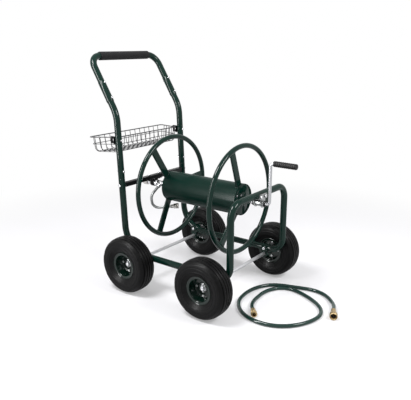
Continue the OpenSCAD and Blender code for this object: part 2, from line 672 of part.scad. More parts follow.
module reel_spokes() color(green) {
  for (a = rear_spokes) spoke(ax + rear_hoop_dx, a);
  for (a = front_spokes) spoke(ax + front_hoop_dx, a);
}

module crank() color(zinc) difference() {
  union() {
    bar_path([[plate_x1 - 20, 0, reel_z], [crank_x, 0, reel_z], [crank_x, 0, crank_z],
      [grip_x1 + 0.5, 0, crank_z]], [0, crank_bend, crank_bend, 0], crank_r);
    rod([arch_x - 37.5, 0, reel_z], [1, 0, 0], 8, 11);
  }
  rod([plate_x1 + 12, -30, reel_z], [0, 1, 0], 60, 2.5 + fit_run);
  rod([grip_x1 - 12, 0, crank_z], [1, 0, 0], 20, 3 + fit_run);
}

module crank_pin() color(zinc) {
  rod([plate_x1 + 12, -17, reel_z], [0, 1, 0], 34, 2.5);
  rod([grip_x1 - 10, 0, crank_z], [1, 0, 0], 11, 3);
  rod([grip_x1 + 0.6, 0, crank_z], [1, 0, 0], 1.9, crank_r + 3);
}

module crank_grip() color(black) difference() {
  union() {
    rod([grip_x0, 0, crank_z], [1, 0, 0], crank_grip_len, crank_grip_d / 2 - 0.8);
    for (i = [0:10]) rod([grip_x0 + i * (crank_grip_len - 5) / 10, 0, crank_z], [1, 0, 0], 5,
      crank_grip_d / 2);
  }
  rod([grip_x0 - 1, 0, crank_z], [1, 0, 0], crank_grip_len + 2, crank_r + 0.08);
}

module gooseneck() color(zinc)
  pipe_path([goose[0] + 12 * goose_d0, goose[1], goose[2], goose[3]], [0, 34, 33, 0], 6.5, 1.5);

module swivel_rotor() color(zinc) difference() {
  union() {
    along([ax, 0, reel_z], [1, 0, 0]) {
      translate([0, 0, -100]) cylinder(h = 44, r = 8);
      translate([0, 0, -58]) cylinder(h = 24, r = 14);
      translate([0, 0, -35]) cylinder(h = plate_x0 - ax + 45, r = 10);
    }
    rod([plate_x0 - 3.3, 0, reel_z], [1, 0, 0], 3.2, 25);
    rod(goose[0], goose_d0, 26, 9.5);
  }
  rod([ax - 110, 0, reel_z], [1, 0, 0], 70, 4.5);
  rod(goose[0], goose_d0, 20, 4.5);
  rod(goose[0] + 11.7 * goose_d0, goose_d0, 20, 6.5 + fit_run);
  for (s = [-1, 1]) rod([plate_x0 - 5, s * 19, reel_z], [1, 0, 0], 8, 2.7);
}

module outlet_coupling() color(brass) along(goose[3], goose_d1) difference() {
  union() {
    translate([0, 0, -14]) cylinder(h = 16, r = 9);
    translate([0, 0, 0]) cylinder(h = 8, r = 13.5, $fn = 6);
    cylinder(h = 24, r = 12.5);
    translate([0, 0, 9.5]) cylinder(h = 14.5, r = thread_r);
  }
  translate([0, 0, -15]) cylinder(h = 15.2, r = 6.5 + fit_run);
  translate([0, 0, -5]) cylinder(h = 40, r = 5);
}

// ---- leader hose -------------------------------------------------------

hn = len(hose_path);
hs = 12;
function hose_dir(i) = i == 0 ? male_d * -1 : i == hn - 1 ? female_d :
  unit(hose_path[i + 1] - hose_path[i - 1]);
hose_pts = [for (i = [0:hn - 1]) let (d = hose_dir(i), a = unit(cross([0, 0, 1], d)),
  b = cross(d, a)) for (k = [0:hs - 1])
  hose_path[i] + hose_r * (cos(k * 360 / hs) * a + sin(k * 360 / hs) * b)];
hose_faces = concat([[for (k = [0:hs - 1]) k]],
  [for (i = [0:hn - 2]) for (k = [0:hs - 1])
    [i * hs + k, (i + 1) * hs + k, (i + 1) * hs + (k + 1) % hs, i * hs + (k + 1) % hs]],
  [[for (k = [hs - 1:-1:0]) (hn - 1) * hs + k]]);

module leader_hose() color([0.1, 0.35, 0.33]) polyhedron(points = hose_pts, faces = hose_faces,
  convexity = 10);

module hose_male_end() color(brass) along(male_p + 0.1 * male_d, male_d) difference() {
  union() {
    cylinder(h = 20, r = hose_r + 2);
    translate([0, 0, 19]) cylinder(h = 9, r = 13.4, $fn = 6);
    translate([0, 0, 27]) cylinder(h = 17, r = 12.5);
    translate([0, 0, 29.5]) cylinder(h = 14.5, r = thread_r);
  }
  translate([0, 0, 2]) cylinder(h = 60, r = 8);
}

module hose_female_tail() color(brass) along(female_p + 0.1 * female_d, female_d) difference() {
  union() {
    cylinder(h = 24, r = hose_r + 2);
    translate([0, 0, 23]) cylinder(h = 15, r = 10.2);
    translate([0, 0, 36]) cylinder(h = 3, r = 12.4);
  }
  translate([0, 0, 2]) cylinder(h = 60, r = 7.5);
}

module leader_washer() color(black)
  ring(female_p + 39.2 * unit(female_d), female_d, 3, 12.6, 7);

module hose_swivel_nut() color(brass) along(female_p + 0.1 * female_d, female_d) difference() {
  union() {
    translate([0, 0, 32]) cylinder(h = 28, r = 15.6);
    for (a = [15:30:345]) rotate([0, 0, a]) translate([15.6, 0, 33])
      cylinder(h = 26, r = 1.3, $fn = 16);
  }
  translate([0, 0, 40]) cylinder(h = 30, r = thread_r + fit_run);
  translate([0, 0, 35.7]) cylinder(h = 6.8, r = thread_r + 0.8);
  translate([0, 0, 30]) cylinder(h = 10, r = 10.5);
}

left_side_frame();
right_side_frame();
front_frame();
rear_crossbar();
handle_legs();
upper_handle();
handle_sleeves();
frame_spigots();
handle_grip();
frame_bolts();
frame_nuts();
axles();
axle_brackets();
axle_washers();
cotter_pins();
wire_basket();
basket_clips();
swivel_bracket();
swivel_body();
swivel_seals();
front_bearing_bracket();
front_bearing_bushes();
drum();
drum_end_plates();
drum_screws();
rear_hoop();
front_hoop();
reel_spokes();
crank();
crank_pin();
gooseneck();
swivel_rotor();
outlet_coupling();
crank_grip();
inlet_nut();
leader_hose();
hose_male_end();
hose_female_tail();
leader_washer();
hose_swivel_nut();
rear_left_tyre();
rear_left_inner_tube();
rear_left_rim();
rear_left_hub();
rear_left_rim_bolts();
rear_right_tyre();
rear_right_inner_tube();
rear_right_rim();
rear_right_hub();
rear_right_rim_bolts();
front_left_tyre();
front_left_inner_tube();
front_left_rim();
front_left_hub();
front_left_rim_bolts();
front_right_tyre();
front_right_inner_tube();
front_right_rim();
front_right_hub();
front_right_rim_bolts();
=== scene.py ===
import bpy, bmesh, math
from mathutils import Matrix, Vector


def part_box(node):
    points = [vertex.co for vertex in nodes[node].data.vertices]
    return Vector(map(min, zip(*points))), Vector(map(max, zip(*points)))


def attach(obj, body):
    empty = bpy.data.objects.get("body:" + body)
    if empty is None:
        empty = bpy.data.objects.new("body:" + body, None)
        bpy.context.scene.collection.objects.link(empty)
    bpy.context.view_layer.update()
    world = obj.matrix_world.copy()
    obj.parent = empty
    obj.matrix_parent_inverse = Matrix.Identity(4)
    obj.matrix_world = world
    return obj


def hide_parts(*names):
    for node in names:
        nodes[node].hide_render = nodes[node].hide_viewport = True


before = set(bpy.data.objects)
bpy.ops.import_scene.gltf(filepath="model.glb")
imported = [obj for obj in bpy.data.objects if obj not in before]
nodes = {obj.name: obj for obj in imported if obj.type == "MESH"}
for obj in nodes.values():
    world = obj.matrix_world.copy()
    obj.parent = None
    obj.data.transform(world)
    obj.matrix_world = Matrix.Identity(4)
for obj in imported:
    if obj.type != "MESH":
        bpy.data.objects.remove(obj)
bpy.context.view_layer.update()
scene = bpy.context.scene

# ---------------------------------------------------------------------------
# Camera. A little above the cart's handle height, ahead of its right side,
# looking back along it with a mild telephoto lens.
azimuth, elevation = math.radians(37.056), math.radians(16.068)
camera_data = bpy.data.cameras.new("camera")
camera_data.sensor_width = 36.0
camera_data.lens = 47.718832
camera = bpy.data.objects.new("camera", camera_data)
camera.location = (1.47185, -1.9163, 1.0984)
camera.rotation_euler = (math.pi / 2 - elevation, 0, azimuth)
scene.collection.objects.link(camera)
scene.camera = camera

# ---------------------------------------------------------------------------
# Leader hose. 1.8 m of 17 mm garden hose with a smooth green cover, lying
# loose on the floor in one wide turn, with a crimped fitting on each end.
hose_radius = 0.0085
hose_route = [  # mm, from the male end round to the female one
    (375, -130, 13.8), (346, -93, 9.8), (328, -49, 8.6), (321, -2, 8.6), (319, 49, 8.6),
    (330, 97, 8.6), (355, 135, 8.6), (395, 154, 8.6), (441, 150, 8.6), (487, 134, 8.6),
    (531, 112, 8.6), (571, 84, 8.6), (602, 48, 8.6), (618, 4, 8.6), (615, -44, 8.6),
    (600, -89, 8.6), (576, -130, 8.6), (543, -164, 8.6), (502, -188, 8.6), (456, -198, 8.6),
    (409, -195, 8.6), (364, -179, 8.6), (325, -152, 8.6), (293, -117, 8.6), (271, -75, 8.6),
    (260, -29, 8.6), (257, 19, 8.6), (264, 66, 8.6), (281, 108, 8.6), (308, 142, 8.6),
    (345, 165, 8.6), (390, 181, 8.6), (436, 196, 8.6), (481, 207, 8.6), (526, 203, 8.6),
    (568, 182, 9.2), (604, 148, 11), (633, 108, 14.4), (651, 65, 17.2)]
hose_route = [Vector(p) / 1000 for p in hose_route]
hose_curve = bpy.data.curves.new("leader_hose_cover", "CURVE")
hose_curve.dimensions = "3D"
hose_curve.bevel_depth = hose_radius
hose_curve.bevel_resolution = 7
hose_curve.use_fill_caps = True
strand = hose_curve.splines.new("BEZIER")
strand.bezier_points.add(len(hose_route) - 1)
strand.resolution_u = 6
for point, place in zip(strand.bezier_points, hose_route):
    point.co = place
    point.handle_left_type = point.handle_right_type = "AUTO"
hose = bpy.data.objects.new("leader_hose_cover", hose_curve)
scene.collection.objects.link(hose)


def sockets(material):
    """The Principled shader of a fresh material, with its node tree."""
    material.use_nodes = True
    tree = material.node_tree
    return tree, tree.nodes["Principled BSDF"]


def shader_group(name, inputs, outputs):
    """An empty node group with float or colour sockets."""
    group = bpy.data.node_groups.new(name, "ShaderNodeTree")
    for label, kind in inputs:
        group.interface.new_socket(name=label, in_out="INPUT", socket_type=kind)
    for label, kind in outputs:
        group.interface.new_socket(name=label, in_out="OUTPUT", socket_type=kind)
    return group, group.nodes.new("NodeGroupInput"), group.nodes.new("NodeGroupOutput")


# mottle: two close tones of one finish, mixed by a soft noise, with a change of gloss to match
mottle, mottle_in, mottle_out = shader_group(
    "mottle",
    [("Tone", "NodeSocketColor"), ("Second Tone", "NodeSocketColor"), ("Scale", "NodeSocketFloat"),
     ("Gloss Low", "NodeSocketFloat"), ("Gloss High", "NodeSocketFloat")],
    [("Color", "NodeSocketColor"), ("Roughness", "NodeSocketFloat")])
place = mottle.nodes.new("ShaderNodeTexCoord")
patches = mottle.nodes.new("ShaderNodeTexNoise")
patches.inputs["Detail"].default_value = 4
mottle.links.new(place.outputs["Object"], patches.inputs["Vector"])
mottle.links.new(mottle_in.outputs["Scale"], patches.inputs["Scale"])
blend = mottle.nodes.new("ShaderNodeMix")
blend.data_type = "RGBA"
mottle.links.new(patches.outputs["Fac"], blend.inputs["Factor"])
mottle.links.new(mottle_in.outputs["Tone"], blend.inputs[6])
mottle.links.new(mottle_in.outputs["Second Tone"], blend.inputs[7])
gloss = mottle.nodes.new("ShaderNodeMapRange")
mottle.links.new(patches.outputs["Fac"], gloss.inputs["Value"])
gloss.inputs["From Min"].default_value = 0.3
gloss.inputs["From Max"].default_value = 0.7
mottle.links.new(mottle_in.outputs["Gloss Low"], gloss.inputs["To Min"])
mottle.links.new(mottle_in.outputs["Gloss High"], gloss.inputs["To Max"])
mottle.links.new(blend.outputs[2], mottle_out.inputs["Color"])
mottle.links.new(gloss.outputs["Result"], mottle_out.inputs["Roughness"])

# pitting: a fine surface relief, such as paint's orange peel, rubber's grain or cast skin
pitting, pitting_in, pitting_out = shader_group(
    "pitting",
    [("Scale", "NodeSocketFloat"), ("Depth", "NodeSocketFloat")],
    [("Normal", "NodeSocketVector")])
place = pitting.nodes.new("ShaderNodeTexCoord")
grain = pitting.nodes.new("ShaderNodeTexNoise")
grain.inputs["Detail"].default_value = 3
pitting.links.new(place.outputs["Object"], grain.inputs["Vector"])
pitting.links.new(pitting_in.outputs["Scale"], grain.inputs["Scale"])
relief = pitting.nodes.new("ShaderNodeBump")
relief.inputs["Distance"].default_value = 0.0004
pitting.links.new(grain.outputs["Fac"], relief.inputs["Height"])
pitting.links.new(pitting_in.outputs["Depth"], relief.inputs["Strength"])
pitting.links.new(relief.outputs["Normal"], pitting_out.inputs["Normal"])


def finish_of(name, tone, second, patch, rough, grain, metallic=0.0, coat=0.0, coat_haze=0.06,
              shine=0.5):
    """A material of two tones in soft patches, with a fine grain over them.

    patch is how many patches go to the metre, rough the least and greatest roughness, and grain
    how many grains go to the metre and how deep they are. coat is the weight of the clear coat,
    coat_haze how rough that coat is, and shine how strong the plain reflection under it is."""
    material = bpy.data.materials.new(name)
    tree, shader = sockets(material)
    colour = tree.nodes.new("ShaderNodeGroup")
    colour.node_tree = mottle
    colour.inputs["Tone"].default_value = (*tone, 1)
    colour.inputs["Second Tone"].default_value = (*second, 1)
    colour.inputs["Scale"].default_value = patch
    colour.inputs["Gloss Low"].default_value, colour.inputs["Gloss High"].default_value = rough
    skin = tree.nodes.new("ShaderNodeGroup")
    skin.node_tree = pitting
    skin.inputs["Scale"].default_value, skin.inputs["Depth"].default_value = grain
    tree.links.new(colour.outputs["Color"], shader.inputs["Base Color"])
    tree.links.new(colour.outputs["Roughness"], shader.inputs["Roughness"])
    tree.links.new(skin.outputs["Normal"], shader.inputs["Normal"])
    shader.inputs["Metallic"].default_value = metallic
    shader.inputs["Coat Weight"].default_value = coat
    shader.inputs["Coat Roughness"].default_value = coat_haze
    shader.inputs["Specular IOR Level"].default_value = shine
    return material


hose_cover = finish_of("hose_cover", (0.003, 0.024, 0.018), (0.005, 0.031, 0.024),
                       patch=18, rough=(0.2, 0.3), grain=(900, 0.06), coat=0.6, shine=0.08)
hose_curve.materials.append(hose_cover)


def along(origin, direction):
    """The place of a turned piece whose own Z runs along direction from origin."""
    turn = Vector((0, 0, 1)).rotation_difference(Vector(direction).normalized())
    return Matrix.Translation(origin) @ turn.to_matrix().to_4x4()


def settle(bm, name, material, sharp=32):
    """Turns a bmesh into a smooth-shaded object with sharp edges kept."""
    bmesh.ops.recalc_face_normals(bm, faces=bm.faces)
    for face in bm.faces:
        face.smooth = True
    for edge in bm.edges:
        if len(edge.link_faces) == 2:
            edge.smooth = edge.calc_face_angle(0) < math.radians(sharp)
    mesh = bpy.data.meshes.new(name)
    bm.to_mesh(mesh)
    bm.free()
    mesh.materials.append(material)
    piece = bpy.data.objects.new(name, mesh)
    scene.collection.objects.link(piece)
    return piece


def lathe(bm, outline, steps):
    """Spins a closed outline of (radius, height) points in mm about Z."""
    corners = [bm.verts.new((r / 1000, 0, h / 1000)) for r, h in outline]
    sides = [bm.edges.new((a, b)) for a, b in zip(corners, corners[1:] + corners[:1])]
    bmesh.ops.spin(bm, geom=corners + sides, cent=(0, 0, 0), axis=(0, 0, 1),
                   angle=2 * math.pi, steps=steps, use_merge=True)


def turned(name, outline, place, material, steps=64, sharp=32, hexagon=None, lobes=None):
    """A piece turned from a closed outline about its own Z, and a hexagon from another.

    lobes is (radius, count): what stands beyond the radius is cut into that many ridges, each
    as wide as the gap beside it."""
    bm = bmesh.new()
    lathe(bm, outline, steps)
    if hexagon:
        lathe(bm, hexagon, 6)
    bmesh.ops.remove_doubles(bm, verts=bm.verts, dist=1e-6)
    if lobes:
        radius, count = lobes
        pitch = steps // count
        for vert in bm.verts:
            reach = math.hypot(vert.co.x, vert.co.y)
            turn = math.atan2(vert.co.y, vert.co.x) / (2 * math.pi) % 1
            if reach > radius / 1000 and round(turn * steps) % pitch >= pitch // 2:
                vert.co.xy *= radius / 1000 / reach
    bmesh.ops.transform(bm, matrix=place, verts=bm.verts)
    return settle(bm, name, material, sharp)


def assign(piece, body, stands_for=None):
    """Hangs a piece on the body that carries it, and hides the CAD node it stands for."""
    if stands_for:
        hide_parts(stands_for)
    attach(piece, body)


brass = finish_of("machined_brass", (0.50, 0.375, 0.20), (0.40, 0.29, 0.15),
                  patch=60, rough=(0.22, 0.36), grain=(900, 0.05), metallic=1.0)
thread_pitch, hex_bevel = 2.2, 0.8


def thread(r_low, r_high, start, turns):
    """Outline points of a hose thread's crests from start upwards, as rings."""
    rise, flat, fall = 0.35 * thread_pitch, 0.5 * thread_pitch, 0.85 * thread_pitch
    points = []
    for i in range(turns):
        h = start + i * thread_pitch
        points += [(r_low, h), (r_high, h + rise), (r_high, h + flat), (r_low, h + fall)]
    return points


def hex_band(r_in, r_out, low, high):
    """The outline of a spanner hexagon with bevelled corners."""
    return [(r_in, low), (r_out - hex_bevel, low), (r_out, low + hex_bevel),
            (r_out, high - hex_bevel), (r_out - hex_bevel, high), (r_in, high)]


male_way, female_way = Vector((0.617, -0.787, 0)), Vector((0.42, -0.9075, 0))
hose_gap = 0.0001  # between the hose's cut end and the shoulder inside its fitting
male_start = hose_route[0] + hose_gap * male_way.normalized()
female_start = hose_route[-1] + hose_gap * female_way.normalized()
male_end = turned("leader_male_fitting",
                  [(8, 2), (8, 44), (11.8, 44)]
                  + thread(12.3, 13.4, 29.6, 6)[::-1]
                  + [(12.0, 29), (12.0, 19), (10.4, 19), (10.5, 17), (10.0, 15.8), (10.0, 13.8),
                     (10.5, 13), (10.5, 9), (10.0, 8), (10.0, 6), (10.5, 5), (10.5, 0.6), (10, 0),
                     (4, 0), (4, 2)],
                  along(male_start, male_way), brass, steps=48,
                  hexagon=hex_band(8.5, 13.4, 19, 28))
female_tail = turned("leader_female_ferrule",
                     [(7.5, 2), (7.5, 38.9), (12.2, 38.9), (12.4, 36.2), (10.2, 36), (10.2, 24),
                      (10.4, 23.4), (10.4, 19), (9.9, 18), (9.9, 15), (10.5, 14), (10.5, 10),
                      (9.9, 9), (9.9, 6), (10.5, 5), (10.5, 0.6), (10, 0), (4, 0), (4, 2)],
                     along(female_start, female_way), brass, steps=48)
swivel_nut = turned("leader_swivel_nut",
                    [(10.6, 32), (10.6, 35.7), (14.2, 35.7), (14.2, 42.5), (13.5, 42.6)]
                    + thread(13.5, 12.9, 43, 7)
                    + [(13.5, 58.6), (14.1, 60), (14.9, 60), (15.6, 59.2), (15.6, 58),
                       (16.4, 57), (16.8, 55.5), (16.8, 37), (16.4, 35.6), (15.6, 34.6),
                       (15.6, 33), (14.6, 32)],
                    along(female_start, female_way), brass, steps=96, lobes=(15.7, 12))
assign(hose, "cart_frame", "leader_hose")
assign(male_end, "cart_frame", "hose_male_end")
assign(female_tail, "cart_frame", "hose_female_tail")
assign(swivel_nut, "leader_nut", "hose_swivel_nut")

# ---------------------------------------------------------------------------
# Floor and light. A wide pale floor that runs up to white, a big soft lamp
# above and to the left, a weaker one from the right, and a tall card at the
# left that shows only as a streak on glossy enamel.
def any_ray(tree, *kinds):
    """A socket that is 1 where a ray is of any of these Light Path kinds."""
    rays = tree.nodes.new("ShaderNodeLightPath")
    found = rays.outputs[kinds[0]]
    for kind in kinds[1:]:
        either = tree.nodes.new("ShaderNodeMath")
        either.operation = "MAXIMUM"
        tree.links.new(found, either.inputs[0])
        tree.links.new(rays.outputs[kind], either.inputs[1])
        found = either.outputs["Value"]
    return found


bm = bmesh.new()
bmesh.ops.create_grid(bm, x_segments=1, y_segments=1, size=30)
floor_mesh = bpy.data.meshes.new("floor")
bm.to_mesh(floor_mesh)
bm.free()
floor = bpy.data.objects.new("floor", floor_mesh)
scene.collection.objects.link(floor)
floor_material = bpy.data.materials.new("floor")
tree, shader = sockets(floor_material)
shader.inputs["Base Color"].default_value = (0.80, 0.795, 0.82, 1)
shader.inputs["Roughness"].default_value = 0.8
shader.inputs["Specular IOR Level"].default_value = 0.1
glow = tree.nodes.new("ShaderNodeEmission")
glow.inputs["Color"].default_value = (1, 1, 1, 1)
glow.inputs["Strength"].default_value = 0.02
lit = tree.nodes.new("ShaderNodeAddShader")
tree.links.new(shader.outputs["BSDF"], lit.inputs[0])
tree.links.new(glow.outputs["Emission"], lit.inputs[1])
white = tree.nodes.new("ShaderNodeEmission")
white.inputs["Color"].default_value = (1, 1, 1, 1)

# to the eye and in reflections the floor pales from the cart outwards, until it is plain white
place = tree.nodes.new("ShaderNodeTexCoord")
reach = tree.nodes.new("ShaderNodeVectorMath")
reach.operation = "LENGTH"
tree.links.new(place.outputs["Object"], reach.inputs[0])
fade = tree.nodes.new("ShaderNodeMapRange")
fade.interpolation_type = "SMOOTHSTEP"
fade.inputs["From Min"].default_value = 1.0
fade.inputs["From Max"].default_value = 2.2
fade.inputs["To Min"].default_value = 0.3
tree.links.new(reach.outputs["Value"], fade.inputs["Value"])
seen_floor = tree.nodes.new("ShaderNodeMixShader")
tree.links.new(fade.outputs["Result"], seen_floor.inputs["Fac"])
tree.links.new(lit.outputs["Shader"], seen_floor.inputs[1])
tree.links.new(white.outputs["Emission"], seen_floor.inputs[2])
pick = tree.nodes.new("ShaderNodeMixShader")
tree.links.new(any_ray(tree, "Is Camera Ray", "Is Glossy Ray"), pick.inputs["Fac"])
tree.links.new(shader.outputs["BSDF"], pick.inputs[1])
tree.links.new(seen_floor.outputs["Shader"], pick.inputs[2])
tree.links.new(pick.outputs["Shader"], tree.nodes["Material Output"].inputs["Surface"])
floor_mesh.materials.append(floor_material)

# the room is white to the eye, and lights the cart at half that strength
world = bpy.data.worlds.new("studio")
scene.world = world
world.use_nodes = True
tree = world.node_tree
room = tree.nodes["Background"]
room.inputs["Color"].default_value = (1, 1, 1, 1)
room.inputs["Strength"].default_value = 0.5
seen = tree.nodes.new("ShaderNodeBackground")
seen.inputs["Color"].default_value = (1, 1, 1, 1)
seen.inputs["Strength"].default_value = 1.0
pick = tree.nodes.new("ShaderNodeMixShader")
tree.links.new(any_ray(tree, "Is Camera Ray", "Is Glossy Ray", "Is Transmission Ray"),
               pick.inputs["Fac"])
tree.links.new(room.outputs["Background"], pick.inputs[1])
tree.links.new(seen.outputs["Background"], pick.inputs[2])
tree.links.new(pick.outputs["Shader"], tree.nodes["World Output"].inputs["Surface"])

lamp_target = Vector((0, 0, 0.4))
for name, spot, size, watts in (("overhead", (-0.5, -1.3, 2.8), (1.1, 0.8), 76),
                                ("side", (2.0, 0.3, 2.0), (0.9, 0.7), 40),
                                ("card", (-0.87, -2.09, 1.2), (0.45, 2.2), 90)):
    lamp_data = bpy.data.lights.new(name, "AREA")
    lamp_data.shape = "RECTANGLE"
    lamp_data.size, lamp_data.size_y = size
    lamp_data.energy = watts
    lamp = bpy.data.objects.new(name, lamp_data)
    lamp.location = spot
    lamp.rotation_euler = (lamp_target - Vector(spot)).to_track_quat("-Z", "Y").to_euler()
    lamp.visible_diffuse = name != "card"
    scene.collection.objects.link(lamp)
scene.view_settings.view_transform = "Standard"

# ---------------------------------------------------------------------------
# Frame tubes. 30 mm steel tube, bent cold and sprayed with a dark green gloss
# enamel: two side frames, the front arch, the handle legs and the handle.
def dress(names, material):
    """Gives CAD nodes one finish."""
    for name in names:
        node = nodes[name]
        node.data.materials.clear()
        node.data.materials.append(material)


flat_angle, edge_angle = math.radians(0.6), math.radians(34)


def ease(names, material, width, body):
    """Stands in for sharp-edged CAD nodes with copies whose edges are broken, width in mm.

    Facets within flat_angle of each other are one face, and an edge past edge_angle is sharp."""
    for name in names:
        bm = bmesh.new()
        bm.from_mesh(nodes[name].data)
        bmesh.ops.remove_doubles(bm, verts=bm.verts, dist=2e-6)
        bmesh.ops.dissolve_limit(bm, angle_limit=flat_angle, verts=bm.verts, edges=bm.edges)
        sharp = [e for e in bm.edges
                 if len(e.link_faces) == 2 and e.calc_face_angle(0) > edge_angle]
        bmesh.ops.bevel(bm, geom=sharp, offset=width / 1000, offset_type="OFFSET", segments=2,
                        profile=0.5, affect="EDGES", clamp_overlap=True, material=-1)
        assign(settle(bm, name + "_eased", material, sharp=48), body, name)


enamel = finish_of("green_enamel", (0.0014, 0.0152, 0.0107), (0.0021, 0.0186, 0.0131),
                   patch=9, rough=(0.16, 0.26), grain=(260, 0.06), coat=0.36, shine=0.02)
dress(["left_side_frame", "right_side_frame", "front_frame", "handle_legs", "upper_handle"],
      enamel)
ease(["handle_sleeves", "axle_brackets"], enamel, 0.5, "cart_frame")

# ---------------------------------------------------------------------------
# Crossbar, basket clips and the strap under the swivel. Square tube and bent
# steel plate, bolted on and sprayed in a satin black enamel.
black_enamel = finish_of("black_enamel", (0.0018, 0.0024, 0.0026), (0.0030, 0.0038, 0.0041),
                         patch=12, rough=(0.28, 0.4), grain=(320, 0.15), shine=0.1)
ease(["rear_crossbar"], black_enamel, 1.6, "cart_frame")
ease(["basket_clips", "swivel_bracket"], black_enamel, 0.5, "cart_frame")

# ---------------------------------------------------------------------------
# Zinc-plated steel: spigots, bolts, nuts, swivel, pins and the drum's screws
# in bright plating, and the crank and axles drawn to a satin grey.
zinc = finish_of("bright_zinc", (0.66, 0.665, 0.68), (0.54, 0.545, 0.56),
                 patch=25, rough=(0.2, 0.3), grain=(400, 0.03), metallic=1.0)
satin_zinc = finish_of("satin_zinc", (0.48, 0.485, 0.5), (0.408, 0.413, 0.428),
                       patch=25, rough=(0.38, 0.48), grain=(500, 0.04), metallic=1.0)
axle_steel = finish_of("axle_steel", (0.66, 0.665, 0.68), (0.56, 0.565, 0.58),
                       patch=25, rough=(0.38, 0.48), grain=(500, 0.04), metallic=1.0)
dress(["frame_spigots", "cotter_pins"], zinc)
dress(["crank"], satin_zinc)
ease(["frame_bolts", "frame_nuts", "swivel_body"], zinc, 0.35, "cart_frame")
ease(["axles"], axle_steel, 0.35, "cart_frame")
ease(["drum_screws", "crank_pin", "swivel_rotor"], zinc, 0.3, "reel")

# ---------------------------------------------------------------------------
# Zinc with painted shade: the gooseneck pipe, the axle washers and the stamped bearing
# bracket, toned darker than the bright plating as painted shade for the dim things they reflect.
zinc_painted_shade = finish_of("zinc_painted_shade", (0.37, 0.38, 0.38), (0.28, 0.29, 0.29),
                      patch=40, rough=(0.24, 0.38), grain=(500, 0.05), metallic=1.0)
dress(["gooseneck"], zinc_painted_shade)
ease(["axle_washers"], zinc_painted_shade, 0.35, "cart_frame")
ease(["front_bearing_bracket"], zinc_painted_shade, 0.8, "cart_frame")

# ---------------------------------------------------------------------------
# Inlet nut and outlet coupling. Brass turned to hose thread and plated with
# nickel: the nut spins on the swivel, the coupling is screwed to the gooseneck.
nickel = finish_of("nickel_plate", (0.52, 0.51, 0.49), (0.42, 0.41, 0.39),
                   patch=40, rough=(0.18, 0.28), grain=(600, 0.03), metallic=1.0)


def flipped(outline):
    """The same outline with its heights turned over."""
    return [(r, -h) for r, h in outline]


# the swivel's middle lies on the reel's axis, straight above the rear axle
axle_low, axle_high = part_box("rear_left_hub")
drum_low, drum_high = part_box("drum")
swivel = Vector(((axle_low.x + axle_high.x) / 2, 0, (drum_low.z + drum_high.z) / 2))
nut_outline = ([(10.8, 124.6), (10.8, 127.7), (14.2, 127.7), (14.2, 135.5), (13.5, 135.6)]
               + thread(13.5, 12.9, 136.2, 7)
               + [(13.5, 151), (14.1, 152), (16, 152), (17, 151), (17.6, 150.4), (18.2, 149),
                  (18.2, 128), (17.6, 126.4), (17, 125.6), (16.2, 124.6)])
supply_nut = turned("supply_inlet_nut", flipped(nut_outline), along(swivel, (1, 0, 0)), nickel,
                    steps=96, lobes=(17, 12))
assign(supply_nut, "supply_nut", "inlet_nut")
gooseneck_end = swivel + Vector((0.036, -0.002, -0.1))
outlet_way = (78, 62, 10)
outlet = turned("reel_outlet_coupling",
                [(5, 0.3), (5, 23), (5.8, 24), (11.9, 24)]
                + thread(12.3, 13.4, 9.6, 6)[::-1]
                + [(12.0, 9.2), (12.0, 0), (9, 0), (9, -12.6), (8.2, -14), (6.6, -14),
                   (6.6, 0.2)],
                along(gooseneck_end, outlet_way), nickel, steps=48,
                hexagon=hex_band(7, 13.5, 0, 8))
assign(outlet, "reel", "outlet_coupling")

# ---------------------------------------------------------------------------
# Wheels. Pneumatic tyres with four plain ribs and an inner tube, on two-part
# pressed rims, a plated hub tube through the middle and four plated bolts.
rubber = finish_of("tyre_rubber", (0.0010, 0.0010, 0.0011), (0.0050, 0.0050, 0.0053),
                   patch=90, rough=(0.34, 0.56), grain=(520, 0.8), coat=0.05, coat_haze=0.24,
                   shine=0.07)
# the rims' green is painted darker than the frame's, as painted shade for the dim hollow of the
# dish
rim_enamel = finish_of("rim_enamel", (0.0016, 0.0085, 0.0058), (0.0026, 0.0115, 0.0080),
                       patch=14, rough=(0.14, 0.24), grain=(300, 0.1), coat=0.6, shine=0.06)
tyre_r, crown_r = 130, 182
groove_deep, rib_bevel = 4.3, 0.6
wall_r, wall_middle, wall_bulge = 53.3, 100, 47  # its arc, where it is widest, and how wide


def sidewall(r, proud=0.0):
    """A point of the tyre's round sidewall at radius r, or proud of it."""
    return r, wall_bulge - wall_r + math.sqrt(wall_r ** 2 - (r - wall_middle) ** 2) + proud


def crown(h):
    """The radius of the slightly crowned tread at height h from its middle."""
    return tyre_r - h * h / (2 * crown_r)


def tread_rib(low, high):
    """One rib of the tread, from the groove outside it to the one inside."""
    top = [(crown(h), h) for h in (high - 1.4, (low + high) / 2, low + 1.2)]
    return ([(crown(high) - groove_deep, high + 0.7), (crown(high) - rib_bevel, high)] + top
            + [(crown(low) - rib_bevel, low), (crown(low) - groove_deep, low - 0.5)])


# half of the casing's outside, as (radius, height) in mm from the wheel's middle plane, and
# half of its inside
bead_seat = [(51.2, 22), (51.2, 30.6), (53, 30.8), (61.9, 30.8), (62.3, 32.6), (64.3, 34.6),
             (66.3, 35)]
moulding = [(80.8, 0.9), (82.6, 0.9), (83.6, 0)]
size_band = [(100.8, -0.5), (102.6, -0.5), (103.4, 0)]
shoulder_step = [(115.4, 0.2), (117.4, -0.3)]
wall = ([(r, 0) for r in (68.2, 72, 76, 80)] + moulding + [(r, 0) for r in (88, 92, 96, 100)]
        + size_band + [(r, 0) for r in (107, 111, 114)] + shoulder_step)
shoulder_r, shoulder_middle = 28.7, (100, 20)
shoulder = [(shoulder_middle[0] + shoulder_r * math.cos(t),
             shoulder_middle[1] + shoulder_r * math.sin(t))
            for t in (math.radians(49.7 - 6.2 * i) for i in range(5))]
shoulder_groove = [(124.2, 31), (123, 30)]
